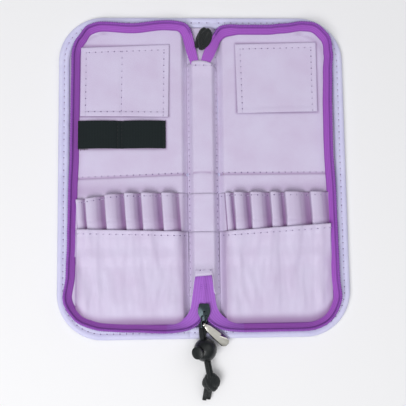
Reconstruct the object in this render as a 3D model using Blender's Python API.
"""A zip brush case lying open: two covers beside a narrow spine, each split by a fold across the middle.

The covers close over the spine like a book. The upper half also folds back, so that the case stands as an
easel, and a cord in the spine draws it up and is held by a lock below the bottom edge.
X runs to the right, Y from the bottom edge to the top edge, and Z out of the lining. Everything is in metres.
"""

from math import acos, cos, hypot, pi, radians, sin, sqrt

import bmesh
import bpy
from mathutils import Matrix, Vector

# Case
CASE_LENGTH = 0.230
COVER_WIDTH = 0.0915
SPINE_WIDTH = 0.022
CORNER_RADIUS = 0.032
PULL_OVERHANG = 0.0062
CORNER_STEPS = 7
SHARP_ANGLE = radians(40.0)

# Layers, from the outer fabric to the lining
SHELL_THICK = 0.0008
BOARD_THICK = 0.0025
FABRIC_THICK = 0.0006
SEAT_GAP = 0.0003
FOLD_GAP = 0.0005
STAND_GAP = 0.00015
MITRE_SPARE = 0.00015

# Bound edge
BINDING_WIDTH = 0.008
BINDING_HEIGHT = 0.0046
BINDING_WRAP = 0.0035
BINDING_ROUND = 0.0016

# Zip
TAPE_INSET = 0.0088
TAPE_RISE = 0.0042
TAPE_LEAN_OUT = 0.0036
TAPE_LEAN_IN = 0.0048
COIL_RADIUS = 0.0009
WALL_START = 0.0155
LEAN_TURN_LOWER_SHARE = 0.723
LEAN_TURN_UPPER_SHARE = 0.843
COIL_SIDES = 6
BEND_STEPS = 7

# Closed stretch of the zip, below the spine's hem
CHAIN_OFFSET = -0.0010
CHAIN_TOP = 0.0445
COIL_WIDTH = 0.0017
COIL_HEIGHT = 0.0018
COIL_SPLIT = 0.0018
CHAIN_TAPE_WIDTH = 0.0030
CHAIN_TAPE_THICK = 0.0005

# Slider
SLIDER_NOSE = 0.0126
SLIDER_LENGTH = 0.0118
SLIDER_WIDTH = 0.0086
PLATE_THICK = 0.0007
POST_WIDTH = 0.0012
POST_LENGTH = 0.0026
LIP_WIDTH = 0.0006
ARCH_WIDTH = 0.0014
ARCH_THICK = 0.0007
ARCH_SPAN = 0.0056
ARCH_FROM_NOSE = 0.0004
ARCH_LEG_SHARE = 0.5
ARCH_STEPS = 6
SLIDER_OUTLINE_SHARES = (
    (0.0, 0.16),
    (0.04, 0.42),
    (0.16, 0.62),
    (0.34, 0.86),
    (0.54, 1.0),
    (0.76, 0.93),
    (0.97, 0.8),
)

# Pull
LINK_WIRE = 0.0009
LINK_WIDTH = 0.0035
LINK_REACH = 0.0056
LINK_DROP = 0.0006
LINK_CORNER = 0.0009
LINK_CORNER_STEPS = 4
LINK_SIDES = 8
BAR_REACH_OUT = 0.0031
BAR_REACH_IN = 0.0018
PULL_TURN = radians(41.0)
PULL_TILT = radians(10.0)
PULL_LENGTH = 0.0216
PULL_THICK = 0.0016
PULL_EYE_WIDTH = 0.0056
PULL_END_WIDTH = 0.0076
KNUCKLE_WALL = 0.0005
KNUCKLE_WIDTH = 0.0017
KNUCKLE_SIDES = 16
RUN_GAP = 0.0002
PULL_EDGE_SHARE = 0.75
PULL_OUTLINE_SHARES = (
    (0.0, 0.42),
    (0.05, 0.62),
    (0.14, 0.84),
    (0.3, 0.94),
    (0.6, 1.0),
    (0.86, 1.0),
    (0.94, 0.84),
    (0.985, 0.55),
    (1.0, 0.25),
)
PULL_SECTION_SHARES = (
    (-1.0, 0.0),
    (-0.8, -0.8),
    (0.0, -1.0),
    (0.8, -0.8),
    (1.0, 0.0),
    (0.8, 0.8),
    (0.0, 1.0),
    (-0.8, 0.8),
)

# Pockets and elastic. Heights are shares of the case's length, from its bottom edge. Across a cover, a START
# is measured from the fold line beside the spine and an INSET from the cover's outer edge.
SLOT_TOP_SHARE = 0.4409
SLOT_BOTTOM_SHARE = 0.2696
SLOT_HEIGHT = 0.0055
SLOT_START = 0.0058
SLOT_INSET_LEFT = 0.0140
SLOT_INSET_RIGHT = 0.0120
SLOT_LINE_START_LEFT = 0.0068
SLOT_LINE_START_RIGHT = 0.0094
SLOT_LINE_INSET_LEFT = 0.0180
SLOT_LINE_INSET_RIGHT = 0.0137
SLOT_LINES_LEFT_SHARES = (1.0, 0.765, 0.564, 0.381, 0.174, 0.0)
SLOT_LINES_RIGHT_SHARES = (0.0, 0.167, 0.374, 0.523, 0.789, 1.0)
LOWER_TOP_INNER_SHARE = 0.3230
LOWER_TOP_LEFT_SHARE = 0.3322
LOWER_TOP_RIGHT_SHARE = 0.3426
LOWER_INSET = 0.0125
LOWER_START = 0.0075
LOWER_INSET_LEFT = 0.0149
LOWER_INSET_RIGHT = 0.0130
LOWER_RAMP = 0.0011
LOWER_SETTLE = 0.008
LOWER_COLUMNS = 10
SLOT_PROFILE_SHARES = (
    (0.03, 0.86),
    (0.10, 1.0),
    (0.30, 0.95),
    (0.55, 0.78),
    (0.75, 0.51),
    (0.90, 0.23),
    (1.0, 0.0),
)
SLOT_DROP_SHARES = ((0.0, 1.0), (0.24, 0.98), (0.46, 0.92), (0.56, 0.58), (0.78, 0.2), (1.0, 0.05))
LOWER_ROW_SHARES = (0.0, 0.08, 0.16, 0.24, 0.34, 0.5, 0.75, 1.0)
PATCH_START_LEFT = 0.0134
PATCH_START_RIGHT = 0.0137
PATCH_INSET_LEFT = 0.0148
PATCH_INSET_RIGHT = 0.0195
PATCH_LEFT_SHARES = (0.6813, 0.9043)
PATCH_RIGHT_SHARES = (0.6939, 0.9139)
PATCH_BELLY = 0.0008
PATCH_STEPS = 6
ELASTIC_START = 0.0155
ELASTIC_INSET = 0.0143
ELASTIC_SHARES = (0.5804, 0.6657)
ELASTIC_THICK = 0.0010
ELASTIC_BOW = 0.0012
ELASTIC_STEPS = 12
SPINE_STRIP_TOP_SHARE = 0.8530
SPINE_HEM = 0.0448
SPINE_SLOT_HALF = 0.0056
SPINE_LOWER_HALF = 0.0046
ZIP_END_HALF = 0.0038

# Cord, its lock and its knots
CORD_DIAMETER = 0.0030
CORD_PAIR = 0.0031
CORD_PRESSED = 0.0029
CORD_ARC_STEPS = 8
CORD_BEVEL_STEPS = 2
CORD_EXIT = 0.0156
CORD_X = -0.0013
LOCK_RADIUS = 0.0080
LOCK_SEGMENTS = 24
LOCK_RINGS = 14
ROD_SIDES = 24
HOLE_STEPS = 8
LOCK_X = -0.0005
LOCK_BELOW_EDGE = 0.0069
LOCK_TURN = radians(10.0)
PLUNGER_TILT = radians(55.0)
PLUNGER_RADIUS = 0.0031
PLUNGER_CAP_RADIUS = 0.0042
PLUNGER_CAP_THICK = 0.0017
PLUNGER_TRAVEL = 0.0015
PLUNGER_FOOT = 0.0008
PLUNGER_RECESS = 0.0006
LOCK_BORE_DEPTH = 0.0066
SPRING_WIRE = 0.0004
SPRING_RADIUS = 0.0024
SPRING_TOP_SHARE = 0.65
SPRING_TURNS = 2
SPRING_STEPS = 14
SPRING_SIDES = 6
KNOT_DISTANCE = 0.0225
KNOT_SIZE = (0.0106, 0.0112, 0.0108)
KNOT_Z = 0.0058
KNOT_SEGMENTS = 16
KNOT_RINGS = 10
TOP_KNOT_SIZE = (0.0078, 0.0160, 0.0056)
TOP_KNOT_SHARE = 0.9235
TOP_KNOT_X = 0.0009
TOP_KNOT_TURN = radians(-15.0)
LINING_NOTCH = 0.0143
NOTCH_SPARE = 0.0004
FREE_ROUTE = (
    (-0.0013, 0.0156, 0.0026),
    (-0.0013, 0.0134, 0.0029),
    (-0.00135, 0.0110, 0.0041),
    (-0.0015, 0.0084, 0.0057),
    (-0.0018, 0.0056, 0.0072),
)
LOCK_ROUTE_SHARES = (-1.25, -1.0, -0.5, 0.0, 0.5, 1.0, 1.5)
CURVE_STEPS = 3

# Derived levels and places
OVERRUN = 0.002
HALF_LENGTH = CASE_LENGTH / 2
SPINE_HALF = SPINE_WIDTH / 2
FOLD_Y = PULL_OVERHANG / 2
AXIS_Z = SHELL_THICK / 2
BOARD_Z = SHELL_THICK + SEAT_GAP
BOARD_TOP = BOARD_Z + BOARD_THICK
LINING_Z = BOARD_TOP + SEAT_GAP
LINING_TOP = LINING_Z + FABRIC_THICK
CHANNEL_TOP = BOARD_Z + CORD_DIAMETER
SPINE_LINING_Z = CHANNEL_TOP + SEAT_GAP
SPINE_LINING_TOP = SPINE_LINING_Z + FABRIC_THICK
SHEET_Z = LINING_TOP + SEAT_GAP + FABRIC_THICK / 2
TAPE_Z = LINING_TOP + SEAT_GAP
RING_INSET = BINDING_WIDTH + SEAT_GAP
COVER_EDGE = SPINE_HALF + COVER_WIDTH
SLOT_TOP = CASE_LENGTH * SLOT_TOP_SHARE
SLOT_BOTTOM = CASE_LENGTH * SLOT_BOTTOM_SHARE
LOWER_TOP_INNER = CASE_LENGTH * LOWER_TOP_INNER_SHARE
LOWER_INNER = SPINE_HALF + LOWER_START
SPINE_STRIP_TOP = CASE_LENGTH * SPINE_STRIP_TOP_SHARE
TOP_KNOT_FROM_BOTTOM = CASE_LENGTH * TOP_KNOT_SHARE
PLATE_Z = SPINE_LINING_TOP + SEAT_GAP
CHAIN_Z = PLATE_Z + PLATE_THICK + SEAT_GAP
TOP_PLATE_Z = CHAIN_Z + COIL_HEIGHT + SEAT_GAP
LINK_Z = TOP_PLATE_Z + PLATE_THICK + LINK_WIRE / 2 + SEAT_GAP * 2
LOCK_ALONG = Vector((sin(LOCK_TURN), -cos(LOCK_TURN), 0.0))
LOCK_CENTRE = Vector((LOCK_X, FOLD_Y - HALF_LENGTH - LOCK_BELOW_EDGE, LOCK_RADIUS))
PLUNGER_SIDE = Vector((-cos(LOCK_TURN), -sin(LOCK_TURN), 0.0))
PLUNGER_ALONG = PLUNGER_SIDE * cos(PLUNGER_TILT) + Vector((0.0, 0.0, sin(PLUNGER_TILT)))
PULL_SIDE = Vector((cos(PULL_TURN), -sin(PULL_TURN), 0.0))
PULL_ALONG = PULL_SIDE * cos(PULL_TILT) - Vector((0.0, 0.0, sin(PULL_TILT)))
PULL_ACROSS = Vector((sin(PULL_TURN), cos(PULL_TURN), 0.0))


def clear_scene():
    """Start from an empty scene."""
    for obj in list(bpy.data.objects):
        bpy.data.objects.remove(obj, do_unlink=True)


def material(name, colour, roughness, metallic=0.0):
    """A plain finish with one colour."""
    made = bpy.data.materials.new(name)
    made.use_nodes = True
    shader = made.node_tree.nodes["Principled BSDF"]
    shader.inputs["Base Color"].default_value = (*colour, 1.0)
    shader.inputs["Roughness"].default_value = roughness
    shader.inputs["Metallic"].default_value = metallic
    return made


def from_bottom(distance):
    """Y of a place that lies this far from the bottom edge."""
    return FOLD_Y - HALF_LENGTH + distance


def world_place(carrier):
    """Where an empty stands in the world, or the origin for what rides on nothing."""
    return Vector(carrier["place"]) if carrier else Vector()


def empty(name, place, parent=None):
    """An empty on a joint's axis, which carries the pieces that move with it."""
    made = bpy.data.objects.new(name, None)
    bpy.context.collection.objects.link(made)
    made.parent = parent
    made["place"] = Vector(place)
    made.location = Vector(place) - world_place(parent)
    return made


def add(name, bm, finish, carrier=None, smooth=False):
    """The mesh as a named object, modelled in world space and carried by an empty."""
    bmesh.ops.recalc_face_normals(bm, faces=bm.faces)
    mesh = bpy.data.meshes.new(name)
    bm.to_mesh(mesh)
    bm.free()
    mesh.materials.append(finish)
    if smooth:
        mesh.shade_smooth()
        mesh.set_sharp_from_angle(angle=SHARP_ANGLE)
    made = bpy.data.objects.new(name, mesh)
    bpy.context.collection.objects.link(made)
    mesh.transform(Matrix.Translation(-world_place(carrier)))
    made.parent = carrier
    return made


def helper(name, bm):
    """A hidden solid that a Boolean joins or cuts."""
    bmesh.ops.recalc_face_normals(bm, faces=bm.faces)
    mesh = bpy.data.meshes.new(name)
    bm.to_mesh(mesh)
    bm.free()
    made = bpy.data.objects.new(name, mesh)
    bpy.context.collection.objects.link(made)
    made.hide_render = True
    made.display_type = "WIRE"
    return made


def combine(target, tool, operation):
    """Join a hidden solid to a piece, or cut it away."""
    change = target.modifiers.new(tool.name, "BOOLEAN")
    change.operation = operation
    change.object = tool
    change.solver = "EXACT"


def prism(outline, low, high):
    """A flat outline pulled up from one height to another."""
    bm = bmesh.new()
    face = bm.faces.new([bm.verts.new((x, y, low)) for x, y in outline])
    raised = bmesh.ops.extrude_face_region(bm, geom=[face])
    points = [item for item in raised["geom"] if isinstance(item, bmesh.types.BMVert)]
    bmesh.ops.translate(bm, verts=points, vec=(0.0, 0.0, high - low))
    return bm


def loft(rings, closed=False):
    """A skin through rings with the same number of points, capped unless the rings close on themselves."""
    bm = bmesh.new()
    made = [[bm.verts.new(point) for point in ring] for ring in rings]
    count = len(rings[0])
    pairs = list(zip(made, made[1:]))
    if closed:
        pairs.append((made[-1], made[0]))
    for near, far in pairs:
        for i in range(count):
            j = (i + 1) % count
            bm.faces.new((near[i], near[j], far[j], far[i]))
    if not closed:
        bm.faces.new(made[0])
        bm.faces.new(made[-1])
    return bm


def sheet(name, rows, thick, finish, carrier):
    """Cloth through rows of points, with its thickness split over both sides."""
    bm = bmesh.new()
    made = [[bm.verts.new(point) for point in row] for row in rows]
    for near, far in zip(made, made[1:]):
        for i in range(len(near) - 1):
            bm.faces.new((near[i], near[i + 1], far[i + 1], far[i]))
    piece = add(name, bm, finish, carrier, smooth=True)
    cloth = piece.modifiers.new("thickness", "SOLIDIFY")
    cloth.thickness = thick
    cloth.offset = 0.0
    return piece


class Cover:
    """One quarter of the two covers: its side of the spine and its half of the length."""

    def __init__(self, name, side, half, carrier):
        self.name = name
        self.side = side
        self.half = half
        self.carrier = carrier
        turn_share = LEAN_TURN_UPPER_SHARE if half > 0 else LEAN_TURN_LOWER_SHARE
        self.lean_turn = (HALF_LENGTH - CORNER_RADIUS) * turn_share

    def place(self, out, away, z):
        """World place of a point this far out from the fold line and this far from the middle fold."""
        return Vector((self.side * (SPINE_HALF + out), FOLD_Y + self.half * away, z))

    def rim(self, start):
        """Points along the outer edge from the spine to the middle fold, each with its outward direction."""
        inner = Vector((COVER_WIDTH - CORNER_RADIUS, HALF_LENGTH - CORNER_RADIUS))
        points = [(Vector((start, HALF_LENGTH)), Vector((0.0, 1.0)))]
        for step in range(CORNER_STEPS + 1):
            angle = (pi / 2) * (1 - step / CORNER_STEPS)
            out = Vector((cos(angle), sin(angle)))
            points.append((inner + CORNER_RADIUS * out, out))
        points.append((Vector((COVER_WIDTH, self.lean_turn)), Vector((1.0, 0.0))))
        points.append((Vector((COVER_WIDTH, STAND_GAP)), Vector((1.0, 0.0))))
        return points

    def slab(self, suffix, inset, low, high, start, finish):
        """A flat layer with the cover's outline, set in from its edge."""
        points = [Vector((start, STAND_GAP))]
        points += [point - out * inset for point, out in self.rim(start)]
        outline = [self.place(x, y, low).xy for x, y in points]
        return add(f"{self.name}_{suffix}", prism(outline, low, high), finish, self.carrier)

    def lean(self, away, leans_in):
        """How far the zip tape leans out over its height, less than zero where it leans in."""
        if not leans_in:
            return TAPE_LEAN_OUT
        straight = HALF_LENGTH - CORNER_RADIUS
        share = min(max((straight - away) / (straight - self.lean_turn), 0.0), 1.0)
        return TAPE_LEAN_OUT - (TAPE_LEAN_OUT + TAPE_LEAN_IN) * share

    def binding(self, finish):
        """The bound edge, cut back along the spine so that it folds against its neighbour."""
        rings = []
        for i, (point, out) in enumerate(self.rim(FOLD_GAP)):
            ring = []
            for inset, z in binding_profile():
                at = point - out * inset
                start = at.x if i else max(FOLD_GAP, mitre(z))
                ring.append(self.place(start, at.y, z))
            rings.append(ring)
        return add(f"{self.name}_binding", loft(rings), finish, self.carrier, smooth=True)

    def zip_edges(self, leans_in):
        """The zip tape's base and its coil edge at each point of the rim."""
        edges = []
        for point, out in self.rim(WALL_START):
            lean = self.lean(point.y, leans_in)
            base = point - out * TAPE_INSET
            top = base + out * lean
            edges.append((base, top, out, lean))
        return edges

    def tape(self, finish, leans_in):
        """The zip tape, standing on its edge along the rim."""
        rings = []
        for base, top, out, _ in self.zip_edges(leans_in):
            half = out * (FABRIC_THICK / 2)
            corners = ((base - half, TAPE_Z), (base + half, TAPE_Z), (top + half, TAPE_Z + TAPE_RISE))
            corners += ((top - half, TAPE_Z + TAPE_RISE),)
            rings.append([self.place(at.x, at.y, z) for at, z in corners])
        return add(f"{self.name}_zip_tape", loft(rings), finish, self.carrier)

    def coil(self, finish, leans_in):
        """The open zip's coil, above the tape's edge."""
        rings = []
        for _, top, out, lean in self.zip_edges(leans_in):
            slant = hypot(lean, TAPE_RISE)
            step = COIL_RADIUS + SEAT_GAP
            middle = top + out * (lean / slant * step)
            z = TAPE_Z + TAPE_RISE + TAPE_RISE / slant * step
            ring = []
            for i in range(COIL_SIDES):
                angle = 2 * pi * i / COIL_SIDES
                at = middle + out * (COIL_RADIUS * cos(angle))
                ring.append(self.place(at.x, at.y, z + COIL_RADIUS * sin(angle)))
            rings.append(ring)
        return add(f"{self.name}_zip_coil", loft(rings), finish, self.carrier, smooth=True)


def binding_profile():
    """The bound edge's section: a lip under the fabric's edge, a round outside and a flat top."""
    top = BINDING_HEIGHT
    turn = BINDING_ROUND * (1 - cos(pi / 4))
    return (
        (BINDING_WRAP, 0.0),
        (BINDING_ROUND, 0.0),
        (turn, turn),
        (0.0, BINDING_ROUND),
        (0.0, top - BINDING_ROUND),
        (turn, top - turn),
        (BINDING_ROUND, top),
        (BINDING_WIDTH - BINDING_ROUND, top),
        (BINDING_WIDTH, top - BINDING_ROUND / 2),
        (BINDING_WIDTH, BOARD_Z),
        (BINDING_WRAP, BOARD_Z),
    )


def mitre(top):
    """How far a layer with this top stays from a fold line, to clear its neighbour when the cover closes."""
    return top - AXIS_Z + MITRE_SPARE


def spine_slab(name, half_width, start, end, low, high, finish, carrier):
    """A flat layer along the spine's middle."""
    outline = ((-half_width, start), (half_width, start), (half_width, end), (-half_width, end))
    return add(name, prism(outline, low, high), finish, carrier)


def spine_binding(name, half, finish, carrier):
    """The bound edge where it crosses the spine's end."""
    rings = []
    for side in (-1.0, 1.0):
        ring = []
        for inset, z in binding_profile():
            reach = SPINE_HALF - max(FOLD_GAP, mitre(z))
            ring.append((side * reach, FOLD_Y + half * (HALF_LENGTH - inset), z))
        rings.append(ring)
    return add(name, loft(rings), finish, carrier)


def spine_lower_lining(finish, carrier):
    """The spine's lower lining, with a notch where the cord comes out over the bottom edge."""
    half = SPINE_HALF - mitre(SPINE_LINING_TOP)
    bottom = from_bottom(RING_INSET)
    notch = from_bottom(LINING_NOTCH)
    reach = CORD_PAIR / 2 + CORD_DIAMETER / 2 + NOTCH_SPARE
    outline = (
        (-half, bottom),
        (CORD_X - reach, bottom),
        (CORD_X - reach, notch),
        (CORD_X + reach, notch),
        (CORD_X + reach, bottom),
        (half, bottom),
        (half, FOLD_Y - STAND_GAP),
        (-half, FOLD_Y - STAND_GAP),
    )
    return add("spine_lower_lining", prism(outline, SPINE_LINING_Z, SPINE_LINING_TOP), finish, carrier)


def across_cover(side, start, inset, share):
    """X of a place on a cover, a share of the way from its start beside the spine to its outer end."""
    near = SPINE_HALF + start
    return side * (near + (COVER_EDGE - inset - near) * share)


def slot_pocket(name, span, lines, finish, carrier):
    """A pleated pocket: each slot has a raised left edge and falls away to its right."""
    profile = [(span[0], 0.0), (lines[0], 0.0)]
    for start, end in zip(lines, lines[1:]):
        profile += [(start + (end - start) * along, rise) for along, rise in SLOT_PROFILE_SHARES]
    profile.append((span[1], 0.0))
    rows = []
    for down, height in SLOT_DROP_SHARES:
        y = from_bottom(SLOT_TOP + (SLOT_BOTTOM - SLOT_TOP) * down)
        rows.append([(x, y, SHEET_Z + SLOT_HEIGHT * height * rise) for x, rise in profile])
    return sheet(name, rows, FABRIC_THICK, finish, carrier)


def slot_height(distance):
    """How high the slots stand at this distance from the bottom edge."""
    down = (SLOT_TOP - distance) / (SLOT_TOP - SLOT_BOTTOM)
    for (near, high), (far, low) in zip(SLOT_DROP_SHARES, SLOT_DROP_SHARES[1:]):
        if down <= far:
            return SLOT_HEIGHT * (high + (low - high) * max(down - near, 0.0) / (far - near))
    return 0.0


def lower_pocket(name, side, outer, outer_top, finish, carrier):
    """A pocket over the feet of the slots, open at its top, which ends along the case's round corner."""
    corner_x = SPINE_HALF + COVER_WIDTH - CORNER_RADIUS
    radius = CORNER_RADIUS - LOWER_INSET
    step = FABRIC_THICK + SEAT_GAP * 2
    first = LOWER_INNER + LOWER_RAMP
    last = outer - LOWER_RAMP
    places = [LOWER_INNER]
    places += [first + (last - first) * i / LOWER_COLUMNS for i in range(LOWER_COLUMNS + 1)]
    places.append(outer)
    rows = []
    for down in LOWER_ROW_SHARES:
        row = []
        for x in places:
            past = max(x - corner_x, 0.0)
            end = CORNER_RADIUS - sqrt(max(radius * radius - past * past, 0.0))
            out = (x - LOWER_INNER) / (outer - LOWER_INNER)
            start = LOWER_TOP_INNER + (outer_top - LOWER_TOP_INNER) * out
            y = start + (end - start) * down
            settled = min(max((SLOT_BOTTOM - y) / LOWER_SETTLE, 0.0), 1.0)
            raised = slot_height(y) if LOWER_INNER < x < outer else 0.0
            row.append((side * x, from_bottom(y), SHEET_Z + raised + step * (1 - settled)))
        rows.append(row)
    return sheet(name, rows, FABRIC_THICK, finish, carrier)


def patch_pocket(name, ends, heights, finish, carrier):
    """A flat pocket sewn on three sides, a little full at its open lower edge."""
    left, right = ends
    bottom, top = [CASE_LENGTH * share for share in heights]
    rows = []
    for j in range(PATCH_STEPS + 1):
        up = j / PATCH_STEPS
        row = []
        for i in range(PATCH_STEPS + 1):
            across = i / PATCH_STEPS
            full = sin(pi * across) * (1 - up) ** 2
            x = left + (right - left) * across
            row.append((x, from_bottom(bottom + (top - bottom) * up), SHEET_Z + PATCH_BELLY * full))
        rows.append(row)
    return sheet(name, rows, FABRIC_THICK, finish, carrier)


def elastic_band(finish, carrier):
    """A flat elastic stitched at its ends and its middle, which bows a little between them."""
    left = across_cover(-1.0, ELASTIC_START, ELASTIC_INSET, 1.0)
    right = across_cover(-1.0, ELASTIC_START, ELASTIC_INSET, 0.0)
    low = LINING_TOP + SEAT_GAP + ELASTIC_THICK / 2
    rows = []
    for share in ELASTIC_SHARES:
        y = CASE_LENGTH * share
        row = []
        for i in range(ELASTIC_STEPS + 1):
            across = i / ELASTIC_STEPS
            z = low + ELASTIC_BOW * abs(sin(2 * pi * across))
            row.append((left + (right - left) * across, from_bottom(y), z))
        rows.append(row)
    return sheet("elastic_band", rows, ELASTIC_THICK, finish, carrier)


def turning(start, end, share):
    """A place on a quarter turn that leaves its start along Y and reaches its end along X."""
    angle = share * pi / 2
    x = start.x + (end.x - start.x) * (1 - cos(angle))
    y = start.y + (end.y - start.y) * sin(angle)
    return Vector((x, y, start.z + (end.z - start.z) * share))


def zip_bend(name, cover, base_start, top_start, finish, carrier):
    """The tape's soft stretch from the spine to the start of a cover's wall."""
    wall = WALL_START - SEAT_GAP
    base_end = cover.place(wall, HALF_LENGTH - TAPE_INSET, TAPE_Z)
    top_end = cover.place(wall, HALF_LENGTH - TAPE_INSET + TAPE_LEAN_OUT, TAPE_Z + TAPE_RISE)
    shares = [i / BEND_STEPS for i in range(BEND_STEPS + 1)]
    bases = [turning(base_start, base_end, share) for share in shares]
    tops = [turning(top_start, top_end, share) for share in shares]
    rings = []
    for i, (base, top) in enumerate(zip(bases, tops)):
        ahead = bases[min(i + 1, BEND_STEPS)]
        behind = bases[max(i - 1, 0)]
        facing = (top - base).cross(ahead - behind).normalized() * (FABRIC_THICK / 2)
        rings.append([base - facing, base + facing, top + facing, top - facing])
    return add(name, loft(rings), finish, carrier)


def closed_zip(tape_finish, coil_finish, carrier):
    """The zip's closed stretch: a tape and a coil on each side of a narrow gap."""
    bottom = from_bottom(SLIDER_NOSE + POST_LENGTH + SEAT_GAP * 2)
    top = from_bottom(CHAIN_TOP)
    for name, side in (("left", -1.0), ("right", 1.0)):
        inner = COIL_SPLIT / 2
        edge = inner + COIL_WIDTH
        coil = prism(strip(side, inner, edge, bottom, top), CHAIN_Z, CHAIN_Z + COIL_HEIGHT)
        add(f"closed_zip_coil_{name}", coil, coil_finish, carrier)
        start = edge + SEAT_GAP
        end = start + CHAIN_TAPE_WIDTH
        tape = prism(strip(side, start, end, bottom, top), CHAIN_Z, CHAIN_Z + CHAIN_TAPE_THICK)
        add(f"closed_zip_tape_{name}", tape, tape_finish, carrier)


def strip(side, near, far, bottom, top):
    """A long rectangle on one side of the closed zip's middle."""
    corners = ((near, bottom), (far, bottom), (far, top), (near, top))
    return [(CHAIN_OFFSET + side * x, y) for x, y in corners]


def slider_outline():
    """The slider's shield shape: a point at the nose, widest past its middle, and a flat tail."""
    half = SLIDER_WIDTH / 2
    right = [(half * wide, SLIDER_NOSE + SLIDER_LENGTH * along) for along, wide in SLIDER_OUTLINE_SHARES]
    tail_half = right[-1][0] - LIP_WIDTH
    right.append((tail_half, SLIDER_NOSE + SLIDER_LENGTH))
    left = [(-x, y) for x, y in reversed(right)]
    return [(CHAIN_OFFSET + x, from_bottom(y)) for x, y in right + left]


def arch_middle():
    """Y of the middle of the slider's arch, where the link hangs."""
    return from_bottom(SLIDER_NOSE + ARCH_FROM_NOSE + ARCH_SPAN / 2)


def slider(finish, carrier):
    """Two shield plates joined by a post at the nose, with side lips and an arch for the link."""
    outline = slider_outline()
    body = add("zip_slider", prism(outline, TOP_PLATE_Z, TOP_PLATE_Z + PLATE_THICK), finish, carrier)
    combine(body, helper("slider_bottom_plate", prism(outline, PLATE_Z, PLATE_Z + PLATE_THICK)), "UNION")
    nose = from_bottom(SLIDER_NOSE + SEAT_GAP)
    half = POST_WIDTH / 2
    post = ((CHAIN_OFFSET - half, nose), (CHAIN_OFFSET + half, nose))
    post += ((CHAIN_OFFSET + half, nose + POST_LENGTH - POST_WIDTH), (CHAIN_OFFSET, nose + POST_LENGTH))
    post += ((CHAIN_OFFSET - half, nose + POST_LENGTH - POST_WIDTH),)
    inside = PLATE_THICK / 2
    combine(body, helper("slider_post", prism(post, PLATE_Z + inside, TOP_PLATE_Z + inside)), "UNION")
    lip_z = CHAIN_Z + CHAIN_TAPE_THICK + SEAT_GAP
    edge = COIL_SPLIT / 2 + COIL_WIDTH + SEAT_GAP
    for name, side in (("left", -1.0), ("right", 1.0)):
        start = from_bottom(SLIDER_NOSE + SLIDER_LENGTH / 2)
        end = from_bottom(SLIDER_NOSE + SLIDER_LENGTH * SLIDER_OUTLINE_SHARES[-1][0])
        lip = strip(side, edge, edge + LIP_WIDTH, start, end)
        combine(body, helper(f"slider_lip_{name}", prism(lip, lip_z, TOP_PLATE_Z + inside)), "UNION")
    combine(body, helper("slider_arch", arch()), "UNION")
    return body


def arch():
    """A strap that rises from the top plate, runs over the link's bar and comes down again."""
    low = TOP_PLATE_Z + PLATE_THICK / 2
    under = LINK_Z + LINK_WIRE / 2 + RUN_GAP
    half = ARCH_SPAN / 2
    leg = (under - low) * ARCH_LEG_SHARE
    path = [(-half, low), (-half, low + leg)]
    for step in range(1, ARCH_STEPS):
        angle = pi * step / ARCH_STEPS
        path.append((-half * cos(angle), low + leg + (under - low - leg) * sqrt(sin(angle))))
    path += [(half, low + leg), (half, low)]
    rings = []
    middle = arch_middle()
    for i, (y, z) in enumerate(path):
        ahead = Vector(path[min(i + 1, len(path) - 1)])
        behind = Vector(path[max(i - 1, 0)])
        along = (ahead - behind).normalized()
        outer = Vector((-along.y, along.x)) * ARCH_THICK
        ring = []
        for x, lift in ((-1, 0.0), (1, 0.0), (1, 1.0), (-1, 1.0)):
            ring.append((CHAIN_OFFSET + x * ARCH_WIDTH / 2, middle + y + outer.x * lift, z + outer.y * lift))
        rings.append(ring)
    return loft(rings)


def link_bar():
    """The link's far bar, which the pull turns on."""
    y = link_pivot().y - LINK_REACH
    return Vector((CHAIN_OFFSET, y, LINK_Z - LINK_DROP))


def link_pivot():
    """The link's near bar, under the slider's arch."""
    return Vector((CHAIN_OFFSET, arch_middle(), LINK_Z))


def wire(points, thick, sides, closed=False, square=Vector((0.0, 0.0, 1.0))):
    """A round wire through the points."""
    rings = []
    count = len(points)
    for i, point in enumerate(points):
        behind = points[i - 1] if closed or i else point
        ahead = points[(i + 1) % count] if closed or i + 1 < count else point
        along = (ahead - behind).normalized()
        across = along.cross(square).normalized()
        up = across.cross(along)
        ring = []
        for j in range(sides):
            angle = 2 * pi * j / sides
            ring.append(point + (across * cos(angle) + up * sin(angle)) * (thick / 2))
        rings.append(ring)
    return loft(rings, closed)


def rounded_loop(corners, radius, steps):
    """The corners of a closed loop, each rounded by a short curve."""
    made = []
    count = len(corners)
    for i, corner in enumerate(corners):
        to_last = (corners[i - 1] - corner).normalized() * radius
        to_next = (corners[(i + 1) % count] - corner).normalized() * radius
        for step in range(steps + 1):
            share = step / steps
            near = (corner + to_last).lerp(corner, share)
            far = corner.lerp(corner + to_next, share)
            made.append(near.lerp(far, share))
    return made


def pull_link(finish, carrier):
    """A small wire ring: its near bar lies under the arch, and its far bar is turned to face the pull."""
    near = link_pivot()
    far = link_bar()
    half = (LINK_WIDTH + LINK_WIRE) / 2
    corners = [near + Vector((half, 0.0, 0.0)), near - Vector((half, 0.0, 0.0))]
    corners += [far - PULL_ACROSS * BAR_REACH_OUT, far + PULL_ACROSS * BAR_REACH_IN]
    path = rounded_loop(corners, LINK_CORNER, LINK_CORNER_STEPS)
    ring = wire(path, LINK_WIRE, LINK_SIDES, closed=True)
    bmesh.ops.triangulate(ring, faces=ring.faces)
    return add("pull_link", ring, finish, carrier, True)


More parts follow.
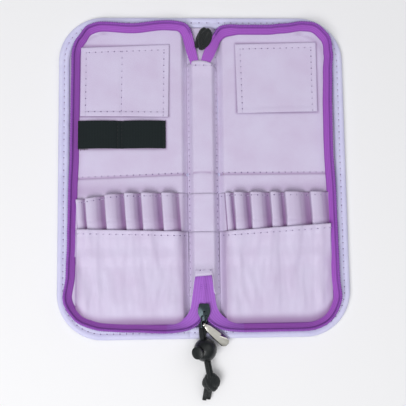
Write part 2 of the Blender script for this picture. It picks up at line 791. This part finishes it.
def pull_tab(finish, carrier):
    """The pull: a knuckle round the link's bar and a tab that swells towards its round end."""
    middle = link_bar()
    up = PULL_ACROSS.cross(PULL_ALONG)
    inner = LINK_WIRE / 2 + RUN_GAP
    outer = inner + KNUCKLE_WALL
    rings = []
    for radius, end in ((outer, -1), (outer, 1), (inner, 1), (inner, -1)):
        ring = []
        for i in range(KNUCKLE_SIDES):
            angle = 2 * pi * i / KNUCKLE_SIDES
            spoke = (PULL_ALONG * cos(angle) + up * sin(angle)) * radius
            ring.append(middle + spoke + PULL_ACROSS * (end * KNUCKLE_WIDTH / 2))
        rings.append(ring)
    body = add("pull_tab", loft(rings, closed=True), finish, carrier, True)
    stations = []
    start = inner + KNUCKLE_WALL / 2
    for along, wide in PULL_OUTLINE_SHARES:
        width = (PULL_EYE_WIDTH + (PULL_END_WIDTH - PULL_EYE_WIDTH) * along) * wide / 2
        at = middle + PULL_ALONG * (start + (PULL_LENGTH - start) * along)
        thick = PULL_THICK / 2 * (PULL_EDGE_SHARE + (1 - PULL_EDGE_SHARE) * sin(pi * along))
        ring = []
        for across, rise in PULL_SECTION_SHARES:
            ring.append(at + PULL_ACROSS * (width * across) + up * (thick * rise))
        stations.append(ring)
    combine(body, helper("pull_tab_plate", loft(stations)), "UNION")
    return body


def smooth_route(points):
    """Places read from a smooth curve through a route's own points."""
    made = []
    last = len(points) - 1
    for i in range(last):
        before, start, end = points[max(i - 1, 0)], points[i], points[i + 1]
        after = points[min(i + 2, last)]
        for step in range(CURVE_STEPS):
            t = step / CURVE_STEPS
            turn = start * 2 + (end - before) * t
            turn += (before * 2 - start * 5 + end * 4 - after) * (t * t)
            turn += (start * 3 - before - end * 3 + after) * (t * t * t)
            made.append(turn / 2)
    made.append(points[-1])
    return made


def cord(name, points, finish, carrier=None):
    """A round cord along the points."""
    line = bpy.data.curves.new(name, "CURVE")
    line.dimensions = "3D"
    line.bevel_depth = CORD_DIAMETER / 2
    line.bevel_resolution = CORD_BEVEL_STEPS
    line.use_fill_caps = True
    run = line.splines.new("POLY")
    run.points.add(len(points) - 1)
    place = world_place(carrier)
    for knot, at in zip(run.points, points):
        knot.co = (*(at - place), 1.0)
    run.use_smooth = True
    line.materials.append(finish)
    made = bpy.data.objects.new(name, line)
    bpy.context.collection.objects.link(made)
    made.parent = carrier
    return made


def cord_end():
    """How far past the lock's middle the straight strands reach, to the end knot."""
    return KNOT_DISTANCE - KNOT_SIZE[1] / 2 - SEAT_GAP


def strand_points(sign):
    """One strand's route: out of the spine, over the bottom edge, and straight through the lock."""
    centres = [Vector((x, from_bottom(y), z)) for x, y, z in FREE_ROUTE]
    free = len(centres)
    centres += [LOCK_CENTRE + LOCK_ALONG * (LOCK_RADIUS * share) for share in LOCK_ROUTE_SHARES]
    centres.append(LOCK_CENTRE + LOCK_ALONG * cord_end())
    made = []
    for i, at in enumerate(centres):
        along = (centres[min(i + 1, len(centres) - 1)] - centres[max(i - 1, 0)]).normalized()
        share = min(max(i - free + 2, 0) / 2, 1.0)
        side = Vector((1.0, 0.0, 0.0)).lerp(-PLUNGER_ALONG, share)
        side = (side - along * side.dot(along)).normalized()
        made.append(at + side * (sign * CORD_PAIR / 2))
    return smooth_route(made)


def doubled_section():
    """The outline of two strands pressed side by side."""
    radius = CORD_DIAMETER / 2
    meet = acos(CORD_PRESSED / CORD_DIAMETER)
    outline = []
    for middle, start in ((CORD_PRESSED / 2, meet - pi), (-CORD_PRESSED / 2, meet)):
        for step in range(CORD_ARC_STEPS):
            angle = start + 2 * (pi - meet) * step / CORD_ARC_STEPS
            outline.append((middle + radius * cos(angle), radius * sin(angle)))
    return outline


def spine_cords(finish, lower, upper):
    """The doubled cord in the spine's channel, cut at the middle fold, where it bends with the case."""
    z = BOARD_Z + CORD_DIAMETER / 2
    runs = (("lower", CORD_EXIT + SEAT_GAP, HALF_LENGTH - STAND_GAP, lower),)
    runs += (("upper", HALF_LENGTH + STAND_GAP, TOP_KNOT_FROM_BOTTOM, upper),)
    for name, start, end, carrier in runs:
        rings = []
        for y in (start, end):
            rings.append([(CORD_X + x, from_bottom(y), z + rise) for x, rise in doubled_section()])
        add(f"spine_cord_{name}", loft(rings), finish, carrier, True)


def ellipsoid(middle, size, turn=0.0):
    """A knot's outer form, made from a ball of unit width."""
    bm = bmesh.new()
    bmesh.ops.create_uvsphere(bm, u_segments=KNOT_SEGMENTS, v_segments=KNOT_RINGS, radius=1 / 2)
    place = Matrix.Translation(middle) @ Matrix.Rotation(turn, 4, "Z") @ Matrix.Diagonal((*size, 1.0))
    bmesh.ops.transform(bm, matrix=place, verts=bm.verts)
    return bm


def turned_frame(middle, along):
    """A frame with its Z along a direction and its Y along the lock's cord hole."""
    z = along.normalized()
    y = (LOCK_ALONG - z * LOCK_ALONG.dot(z)).normalized()
    x = y.cross(z)
    return Matrix.Translation(middle) @ Matrix((x, y, z)).transposed().to_4x4()


def rod(radius, low, high):
    """A round rod along Z, in its own frame."""
    bm = bmesh.new()
    ends = {"radius1": radius, "radius2": radius, "depth": high - low}
    bmesh.ops.create_cone(bm, cap_ends=True, segments=ROD_SIDES, **ends)
    bmesh.ops.translate(bm, verts=bm.verts, vec=(0.0, 0.0, (low + high) / 2))
    return bm


def oval_hole(width, low, high, reach):
    """A cutter along Y whose section runs from low to high along Z, in the lock's frame."""
    half = width / 2
    section = []
    for middle, start in ((high - half, 0.0), (low + half, pi)):
        for step in range(HOLE_STEPS + 1):
            angle = start + pi * step / HOLE_STEPS
            section.append((half * cos(angle), middle + half * sin(angle)))
    return loft([[(x, y, z) for x, z in section] for y in (-reach, reach)])


def cord_lock(body_finish, plunger_finish, steel, lock_carrier, plunger_carrier):
    """A ball lock: a bored ball, a plunger whose slot pinches the cord, and the spring under it."""
    frame = turned_frame(LOCK_CENTRE, PLUNGER_ALONG)
    ball = bmesh.new()
    bmesh.ops.create_uvsphere(ball, u_segments=LOCK_SEGMENTS, v_segments=LOCK_RINGS, radius=LOCK_RADIUS)
    bmesh.ops.transform(ball, matrix=Matrix.Translation(LOCK_CENTRE), verts=ball.verts)
    body = add("cord_lock_body", ball, body_finish, lock_carrier, True)
    bore = rod(PLUNGER_RADIUS + RUN_GAP, -LOCK_BORE_DEPTH, LOCK_RADIUS + OVERRUN)
    bmesh.ops.transform(bore, matrix=frame, verts=bore.verts)
    combine(body, helper("lock_bore", bore), "DIFFERENCE")
    pair = CORD_PAIR / 2 + CORD_DIAMETER / 2 + RUN_GAP
    width = CORD_DIAMETER + RUN_GAP * 2
    hole = oval_hole(width, -pair, pair, LOCK_RADIUS + OVERRUN)
    bmesh.ops.transform(hole, matrix=frame, verts=hole.verts)
    combine(body, helper("lock_cord_hole", hole), "DIFFERENCE")

    foot = -pair - PLUNGER_FOOT
    low = LOCK_RADIUS + PLUNGER_TRAVEL - PLUNGER_RECESS
    stem = rod(PLUNGER_RADIUS, foot, low + PLUNGER_CAP_THICK / 2)
    bmesh.ops.transform(stem, matrix=frame, verts=stem.verts)
    plunger = add("cord_lock_plunger", stem, plunger_finish, plunger_carrier, True)
    cap = rod(PLUNGER_CAP_RADIUS, low, low + PLUNGER_CAP_THICK)
    bmesh.ops.transform(cap, matrix=frame, verts=cap.verts)
    combine(plunger, helper("plunger_cap", cap), "UNION")
    slot = oval_hole(width, -pair, pair + PLUNGER_TRAVEL, LOCK_RADIUS)
    bmesh.ops.transform(slot, matrix=frame, verts=slot.verts)
    combine(plunger, helper("plunger_slot", slot), "DIFFERENCE")

    seat = SEAT_GAP + SPRING_WIRE / 2
    coil = lock_spring(frame, -LOCK_BORE_DEPTH + seat, foot - seat)
    add("cord_lock_spring", coil, steel, lock_carrier, True)


def lock_spring(frame, low, high):
    """A cone spring, which flattens into itself when the plunger is pressed."""
    points = []
    last = SPRING_TURNS * SPRING_STEPS
    for i in range(last + 1):
        angle = 2 * pi * i / SPRING_STEPS
        radius = SPRING_RADIUS * (1 + (SPRING_TOP_SHARE - 1) * i / last)
        rise = low + (high - low) * i / last
        points.append(frame @ Vector((radius * cos(angle), radius * sin(angle), rise)))
    return wire(points, SPRING_WIRE, SPRING_SIDES, square=PLUNGER_ALONG)


def build():
    """The case, from its outer fabric to its zip and its cord."""
    clear_scene()
    cloth = material("outer_cloth", (0.62, 0.64, 0.86), 0.8)
    board = material("board", (0.55, 0.5, 0.45), 0.9)
    satin = material("satin_lining", (0.83, 0.66, 0.85), 0.45)
    trim = material("bound_edge", (0.72, 0.72, 0.92), 0.7)
    purple = material("zip_tape", (0.25, 0.06, 0.55), 0.8)
    nylon = material("zip_coil", (0.2, 0.05, 0.45), 0.4)
    chrome = material("dark_chrome", (0.45, 0.45, 0.47), 0.2, 1.0)
    black = material("black_plastic", (0.02, 0.02, 0.02), 0.4)
    cord_cloth = material("black_cord", (0.015, 0.015, 0.015), 0.85)
    steel = material("spring_steel", (0.6, 0.6, 0.6), 0.3, 1.0)

    bottom = from_bottom(0.0)
    left_lower = empty("cover_left_fold", (-SPINE_HALF, bottom, AXIS_Z))
    right_lower = empty("cover_right_fold", (SPINE_HALF, bottom, AXIS_Z))
    spine_upper = empty("stand_fold", (0.0, FOLD_Y, 0.0))
    left_upper = empty("stand_fold_left", (-SPINE_HALF, FOLD_Y, 0.0), left_lower)
    right_upper = empty("stand_fold_right", (SPINE_HALF, FOLD_Y, 0.0), right_lower)
    slides = empty("slider_travel", (CHAIN_OFFSET, arch_middle(), TOP_PLATE_Z))
    links = empty("link_hinge", link_pivot(), slides)
    tabs = empty("pull_hinge", link_bar(), links)
    locks = empty("cord_lock_slide", LOCK_CENTRE)
    plungers = empty("plunger_press", LOCK_CENTRE, locks)

    covers = (
        Cover("cover_left_lower", -1.0, -1.0, left_lower),
        Cover("cover_left_upper", -1.0, 1.0, left_upper),
        Cover("cover_right_lower", 1.0, -1.0, right_lower),
        Cover("cover_right_upper", 1.0, 1.0, right_upper),
    )
    for cover in covers:
        leans_in = cover.side < 0
        cover.slab("shell", BINDING_WRAP + SEAT_GAP, 0.0, SHELL_THICK, FOLD_GAP, cloth)
        cover.slab("board", RING_INSET, BOARD_Z, BOARD_TOP, mitre(BOARD_TOP), board)
        cover.slab("lining", RING_INSET, LINING_Z, LINING_TOP, mitre(LINING_TOP), satin)
        cover.binding(trim)
        cover.tape(purple, leans_in)
        cover.coil(nylon, leans_in)

    end = HALF_LENGTH - BINDING_WRAP - SEAT_GAP
    half = SPINE_HALF - FOLD_GAP
    below = FOLD_Y - STAND_GAP
    above = FOLD_Y + STAND_GAP
    spine_slab("spine_lower_shell", half, FOLD_Y - end, below, 0.0, SHELL_THICK, cloth, None)
    spine_slab("spine_upper_shell", half, above, FOLD_Y + end, 0.0, SHELL_THICK, cloth, spine_upper)
    spine_binding("spine_lower_binding", -1.0, trim, None)
    spine_binding("spine_upper_binding", 1.0, trim, spine_upper)
    spine_lower_lining(satin, None)
    half = SPINE_HALF - mitre(SPINE_LINING_TOP)
    top = FOLD_Y + HALF_LENGTH - RING_INSET
    low, high = SPINE_LINING_Z, SPINE_LINING_TOP
    spine_slab("spine_upper_lining", half, above, top, low, high, satin, spine_upper)
    low = SPINE_LINING_TOP + SEAT_GAP
    high = low + FABRIC_THICK
    top = from_bottom(SPINE_STRIP_TOP)
    spine_slab("spine_strip", SPINE_SLOT_HALF, above, top, low, high, satin, spine_upper)
    hem = from_bottom(SPINE_HEM)
    top = from_bottom(SLOT_TOP)
    spine_slab("spine_slot_pocket", SPINE_SLOT_HALF, hem, top, low, high, satin, None)
    low = high + SEAT_GAP
    high = low + FABRIC_THICK
    top = from_bottom(LOWER_TOP_INNER)
    spine_slab("spine_lower_pocket", SPINE_LOWER_HALF, hem, top, low, high, satin, None)

    span = [across_cover(-1.0, SLOT_START, SLOT_INSET_LEFT, share) for share in (1.0, 0.0)]
    lines = SLOT_LINES_LEFT_SHARES
    lines = [across_cover(-1.0, SLOT_LINE_START_LEFT, SLOT_LINE_INSET_LEFT, share) for share in lines]
    slot_pocket("slot_pocket_left", span, lines, satin, left_lower)
    span = [across_cover(1.0, SLOT_START, SLOT_INSET_RIGHT, share) for share in (0.0, 1.0)]
    lines = SLOT_LINES_RIGHT_SHARES
    lines = [across_cover(1.0, SLOT_LINE_START_RIGHT, SLOT_LINE_INSET_RIGHT, share) for share in lines]
    slot_pocket("slot_pocket_right", span, lines, satin, right_lower)
    outer = COVER_EDGE - LOWER_INSET_LEFT
    lower_pocket("lower_pocket_left", -1.0, outer, CASE_LENGTH * LOWER_TOP_LEFT_SHARE, satin, left_lower)
    outer = COVER_EDGE - LOWER_INSET_RIGHT
    lower_pocket("lower_pocket_right", 1.0, outer, CASE_LENGTH * LOWER_TOP_RIGHT_SHARE, satin, right_lower)
    ends = [across_cover(-1.0, PATCH_START_LEFT, PATCH_INSET_LEFT, share) for share in (1.0, 0.0)]
    patch_pocket("patch_pocket_left", ends, PATCH_LEFT_SHARES, satin, left_upper)
    ends = [across_cover(1.0, PATCH_START_RIGHT, PATCH_INSET_RIGHT, share) for share in (0.0, 1.0)]
    patch_pocket("patch_pocket_right", ends, PATCH_RIGHT_SHARES, satin, right_upper)
    elastic_band(black, left_upper)

    closed_zip(purple, nylon, None)
    for name, cover in (("left", covers[0]), ("right", covers[2])):
        throat = COIL_SPLIT / 2 + COIL_WIDTH + CHAIN_TAPE_WIDTH + FABRIC_THICK + SEAT_GAP * 2
        side = cover.side
        y = from_bottom(SLIDER_NOSE + SLIDER_LENGTH / 2)
        top = Vector((CHAIN_OFFSET + side * throat, y, CHAIN_Z + COIL_HEIGHT / 2))
        base = Vector((CHAIN_OFFSET + side * (throat + CHAIN_TAPE_WIDTH), y, CHAIN_Z))
        zip_bend(f"zip_bend_{name}", cover, base, top, purple, None)
    for name, cover in (("left", covers[1]), ("right", covers[3])):
        side = cover.side
        y = from_bottom(SPINE_STRIP_TOP + SEAT_GAP)
        z = SPINE_LINING_TOP + SEAT_GAP + FABRIC_THICK
        top = Vector((side * ZIP_END_HALF, y, z + COIL_RADIUS))
        base = Vector((side * (SPINE_HALF - SEAT_GAP), y, z))
        zip_bend(f"zip_end_{name}", cover, base, top, purple, spine_upper)

    slider(chrome, slides)
    pull_link(chrome, links)
    pull_tab(chrome, tabs)

    spine_cords(cord_cloth, None, spine_upper)
    cord("cord_strand_left", strand_points(-1.0), cord_cloth)
    cord("cord_strand_right", strand_points(1.0), cord_cloth)
    knot = LOCK_CENTRE + LOCK_ALONG * KNOT_DISTANCE
    knot.z = KNOT_Z
    add("cord_end_knot", ellipsoid(knot, KNOT_SIZE, LOCK_TURN), cord_cloth, None, True)
    z = SPINE_LINING_TOP + SEAT_GAP + TOP_KNOT_SIZE[2] / 2
    knot = Vector((TOP_KNOT_X, from_bottom(TOP_KNOT_FROM_BOTTOM), z))
    add("cord_top_knot", ellipsoid(knot, TOP_KNOT_SIZE, TOP_KNOT_TURN), cord_cloth, spine_upper, True)
    cord_lock(black, black, steel, locks, plungers)


build()
